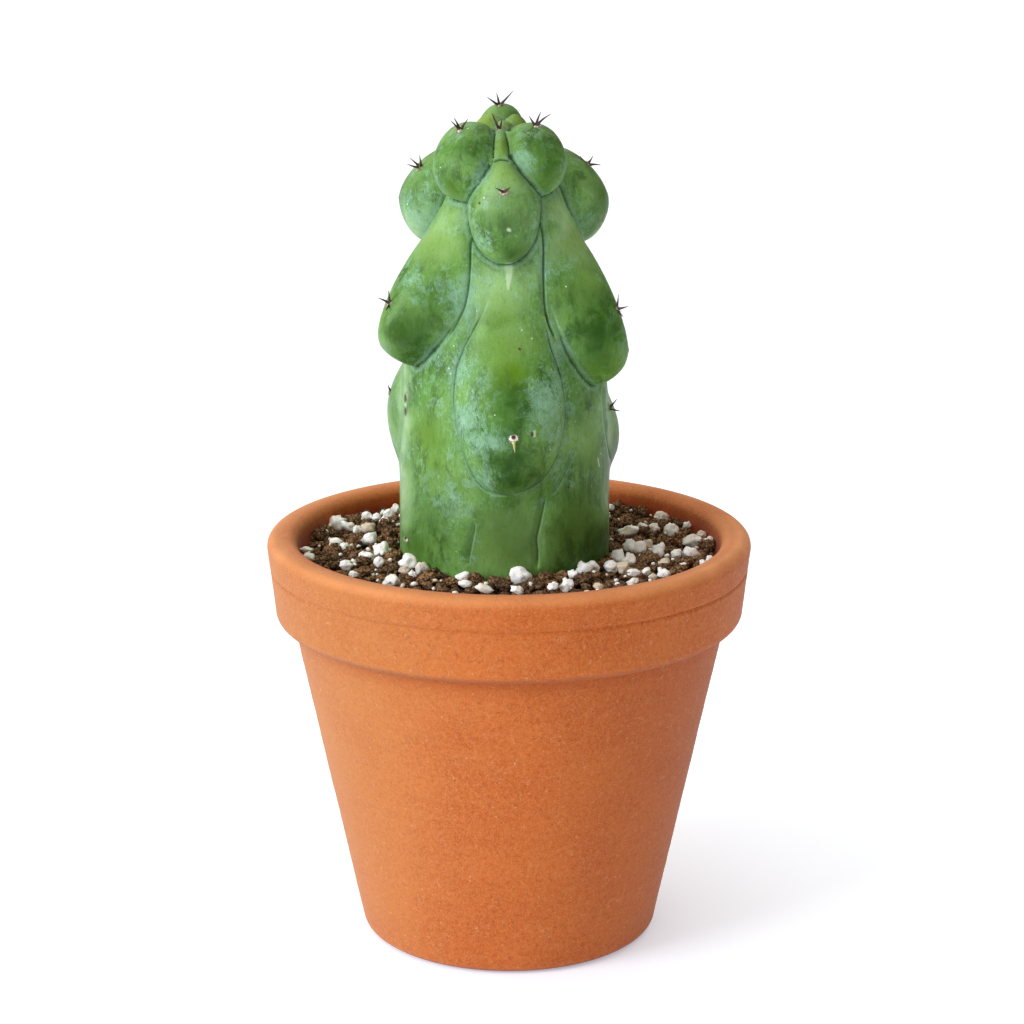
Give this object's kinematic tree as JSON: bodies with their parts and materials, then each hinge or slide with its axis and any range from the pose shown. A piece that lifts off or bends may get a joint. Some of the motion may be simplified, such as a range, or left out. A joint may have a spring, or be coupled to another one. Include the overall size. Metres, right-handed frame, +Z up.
{
  "type": "potted lobed cactus",
  "caption": "Round-lobed column cactus with small dark spines, standing in gritty potting mix in a tapered clay pot with a collared rim.",
  "frame": {"origin": "on the pot's axis, at the surface that the pot stands on", "axes": "+Z up along the pot's axis; -Y towards the front of the plant, +X to its right as seen from the front"},
  "size_m": [0.15, 0.15, 0.2644],
  "materials": {
    "clay": "matte",
    "peat": "matte",
    "perlite": "matte",
    "skin": "satin",
    "areole_felt": "matte",
    "spine": "satin"
  },
  "bodies": {
    "root": {"pot": "clay", "potting_mix": "peat", "cactus_stem": "skin"}
  },
  "joints": []
}
